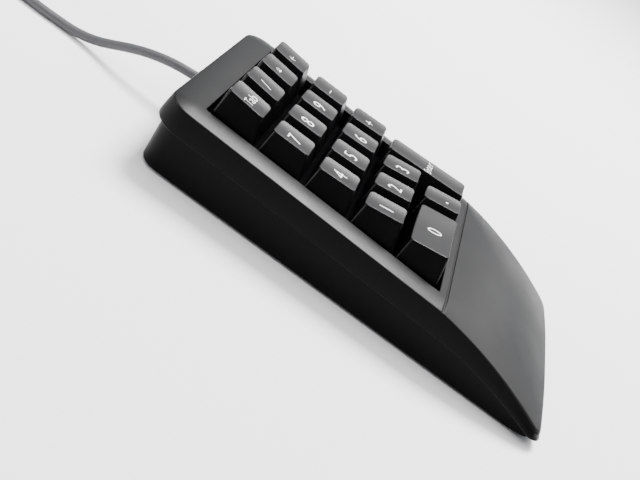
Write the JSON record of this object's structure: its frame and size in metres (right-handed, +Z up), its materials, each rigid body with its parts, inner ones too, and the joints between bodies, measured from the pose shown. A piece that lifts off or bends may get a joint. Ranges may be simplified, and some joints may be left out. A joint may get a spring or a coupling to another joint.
{
  "type": "numeric keypad",
  "caption": "Low desktop numeric keypad with a sloping palm area, sprung keys over rubber domes, two wire-stabilised wide keys, rubber feet and a trailing cord with its plug.",
  "frame": {"origin": "under the middle of the body, on the surface that the feet stand on", "axes": "+X to the typist's right, +Y towards the rear where the cord leaves, +Z up"},
  "size_m": [0.1683, 0.2979, 0.0348],
  "materials": {
    "housing_plastic": "finely textured, satin",
    "lower_shell_plastic": "finely textured, near black",
    "keycap_plastic": "matte dished faces, smooth sides",
    "key_legend": "printed white",
    "frame_plastic": "moulded, matte",
    "dome_rubber": "translucent silicone, matte",
    "membrane_film": "clear polyester film",
    "plate_steel": "plain zinc-plated",
    "board_laminate": "green solder mask",
    "foot_rubber": "matte",
    "cord_jacket": "smooth satin jacket",
    "plug_grip_plastic": "moulded grip with ribs",
    "plug_metal": "nickel-plated shell"
  },
  "bodies": {
    "housing": {"top_housing": "housing_plastic", "bottom_shell": "lower_shell_plastic", "key_frame": "frame_plastic", "membrane_upper_sheet": "membrane_film", "membrane_lower_sheet": "membrane_film", "backing_plate": "plate_steel", "controller_board": "board_laminate", "rubber_foot_rear_left": "foot_rubber", "rubber_foot_rear_right": "foot_rubber", "rubber_foot_front_left": "foot_rubber", "rubber_foot_front_right": "foot_rubber", "housing_screw_rear_left": "plate_steel", "housing_screw_rear_right": "plate_steel", "housing_screw_front_left": "plate_steel", "housing_screw_front_right": "plate_steel", "strain_relief": "cord_jacket", "internal_lead": "cord_jacket", "usb_cable": "cord_jacket", "cable_coil": "cord_jacket", "cable_end": "cord_jacket", "plug_grip": "plug_grip_plastic", "plug_shell": "plug_metal", "dome_tab": "dome_rubber", "dome_divide": "dome_rubber", "dome_multiply": "dome_rubber", "dome_backspace": "dome_rubber", "dome_7": "dome_rubber", "dome_8": "dome_rubber", "dome_9": "dome_rubber", "dome_minus": "dome_rubber", "dome_4": "dome_rubber", "dome_5": "dome_rubber", "dome_6": "dome_rubber", "dome_plus": "dome_rubber", "dome_1": "dome_rubber", "dome_2": "dome_rubber", "dome_3": "dome_rubber", "dome_enter": "dome_rubber", "dome_0": "dome_rubber", "dome_decimal": "dome_rubber"},
    "key_tab": {"keycap_tab": "keycap_plastic"},
    "key_divide": {"keycap_divide": "keycap_plastic"},
    "key_multiply": {"keycap_multiply": "keycap_plastic"},
    "key_backspace": {"keycap_backspace": "keycap_plastic"},
    "key_7": {"keycap_7": "keycap_plastic"},
    "key_8": {"keycap_8": "keycap_plastic"},
    "key_9": {"keycap_9": "keycap_plastic"},
    "key_minus": {"keycap_minus": "keycap_plastic"},
    "key_4": {"keycap_4": "keycap_plastic"},
    "key_5": {"keycap_5": "keycap_plastic"},
    "key_6": {"keycap_6": "keycap_plastic"},
    "key_plus": {"keycap_plus": "keycap_plastic"},
    "key_1": {"keycap_1": "keycap_plastic"},
    "key_2": {"keycap_2": "keycap_plastic"},
    "key_3": {"keycap_3": "keycap_plastic"},
    "key_enter": {"keycap_enter": "keycap_plastic"},
    "stabiliser_enter": {"stabiliser_bar_enter": "plate_steel"},
    "key_0": {"keycap_0": "keycap_plastic"},
    "stabiliser_zero": {"stabiliser_bar_zero": "plate_steel"},
    "key_decimal": {"keycap_decimal": "keycap_plastic"}
  },
  "joints": [
    {"name": "press_tab", "type": "slide", "parent": "housing", "child": "key_tab", "axis": [0, -0.0316, 0.9995], "range_m": [-0.0035, 0], "stiffness_N_per_m": 150, "springref_m": 0.001, "deforming": ["dome_tab"]},
    {"name": "press_divide", "type": "slide", "parent": "housing", "child": "key_divide", "axis": [0, -0.0316, 0.9995], "range_m": [-0.0035, 0], "stiffness_N_per_m": 150, "springref_m": 0.001, "deforming": ["dome_divide"]},
    {"name": "press_multiply", "type": "slide", "parent": "housing", "child": "key_multiply", "axis": [0, -0.0316, 0.9995], "range_m": [-0.0035, 0], "stiffness_N_per_m": 150, "springref_m": 0.001, "deforming": ["dome_multiply"]},
    {"name": "press_backspace", "type": "slide", "parent": "housing", "child": "key_backspace", "axis": [0, -0.0316, 0.9995], "range_m": [-0.0035, 0], "stiffness_N_per_m": 150, "springref_m": 0.001, "deforming": ["dome_backspace"]},
    {"name": "press_7", "type": "slide", "parent": "housing", "child": "key_7", "axis": [0, -0.0316, 0.9995], "range_m": [-0.0035, 0], "stiffness_N_per_m": 150, "springref_m": 0.001, "deforming": ["dome_7"]},
    {"name": "press_8", "type": "slide", "parent": "housing", "child": "key_8", "axis": [0, -0.0316, 0.9995], "range_m": [-0.0035, 0], "stiffness_N_per_m": 150, "springref_m": 0.001, "deforming": ["dome_8"]},
    {"name": "press_9", "type": "slide", "parent": "housing", "child": "key_9", "axis": [0, -0.0316, 0.9995], "range_m": [-0.0035, 0], "stiffness_N_per_m": 150, "springref_m": 0.001, "deforming": ["dome_9"]},
    {"name": "press_minus", "type": "slide", "parent": "housing", "child": "key_minus", "axis": [0, -0.0316, 0.9995], "range_m": [-0.0035, 0], "stiffness_N_per_m": 150, "springref_m": 0.001, "deforming": ["dome_minus"]},
    {"name": "press_4", "type": "slide", "parent": "housing", "child": "key_4", "axis": [0, -0.0316, 0.9995], "range_m": [-0.0035, 0], "stiffness_N_per_m": 150, "springref_m": 0.001, "deforming": ["dome_4"]},
    {"name": "press_5", "type": "slide", "parent": "housing", "child": "key_5", "axis": [0, -0.0316, 0.9995], "range_m": [-0.0035, 0], "stiffness_N_per_m": 150, "springref_m": 0.001, "deforming": ["dome_5"]},
    {"name": "press_6", "type": "slide", "parent": "housing", "child": "key_6", "axis": [0, -0.0316, 0.9995], "range_m": [-0.0035, 0], "stiffness_N_per_m": 150, "springref_m": 0.001, "deforming": ["dome_6"]},
    {"name": "press_plus", "type": "slide", "parent": "housing", "child": "key_plus", "axis": [0, -0.0316, 0.9995], "range_m": [-0.0035, 0], "stiffness_N_per_m": 150, "springref_m": 0.001, "deforming": ["dome_plus"]},
    {"name": "press_1", "type": "slide", "parent": "housing", "child": "key_1", "axis": [0, -0.0316, 0.9995], "range_m": [-0.0035, 0], "stiffness_N_per_m": 150, "springref_m": 0.001, "deforming": ["dome_1"]},
    {"name": "press_2", "type": "slide", "parent": "housing", "child": "key_2", "axis": [0, -0.0316, 0.9995], "range_m": [-0.0035, 0], "stiffness_N_per_m": 150, "springref_m": 0.001, "deforming": ["dome_2"]},
    {"name": "press_3", "type": "slide", "parent": "housing", "child": "key_3", "axis": [0, -0.0316, 0.9995], "range_m": [-0.0035, 0], "stiffness_N_per_m": 150, "springref_m": 0.001, "deforming": ["dome_3"]},
    {"name": "press_enter", "type": "slide", "parent": "housing", "child": "key_enter", "axis": [0, -0.0316, 0.9995], "range_m": [-0.0035, 0], "stiffness_N_per_m": 150, "springref_m": 0.001, "deforming": ["dome_enter"]},
    {"name": "stabiliser_swing_enter", "type": "hinge", "parent": "housing", "child": "stabiliser_enter", "pos_m": [0.02788, -0.00602, 0.02094], "axis": [0, -0.9995, -0.0316], "range_deg": [-29, 0]},
    {"name": "press_0", "type": "slide", "parent": "housing", "child": "key_0", "axis": [0, -0.0316, 0.9995], "range_m": [-0.0035, 0], "stiffness_N_per_m": 150, "springref_m": 0.001, "deforming": ["dome_0"]},
    {"name": "stabiliser_swing_zero", "type": "hinge", "parent": "housing", "child": "stabiliser_zero", "pos_m": [-0.01905, -0.01625, 0.02061], "axis": [1, 0, 0], "range_deg": [-29, 0]},
    {"name": "press_decimal", "type": "slide", "parent": "housing", "child": "key_decimal", "axis": [0, -0.0316, 0.9995], "range_m": [-0.0035, 0], "stiffness_N_per_m": 150, "springref_m": 0.001, "deforming": ["dome_decimal"]}
  ],
  "couplings": [
    {"joint": "stabiliser_swing_enter", "follows": "press_enter", "rad_per_m": 144.39},
    {"joint": "stabiliser_swing_zero", "follows": "press_0", "rad_per_m": 144.39}
  ]
}
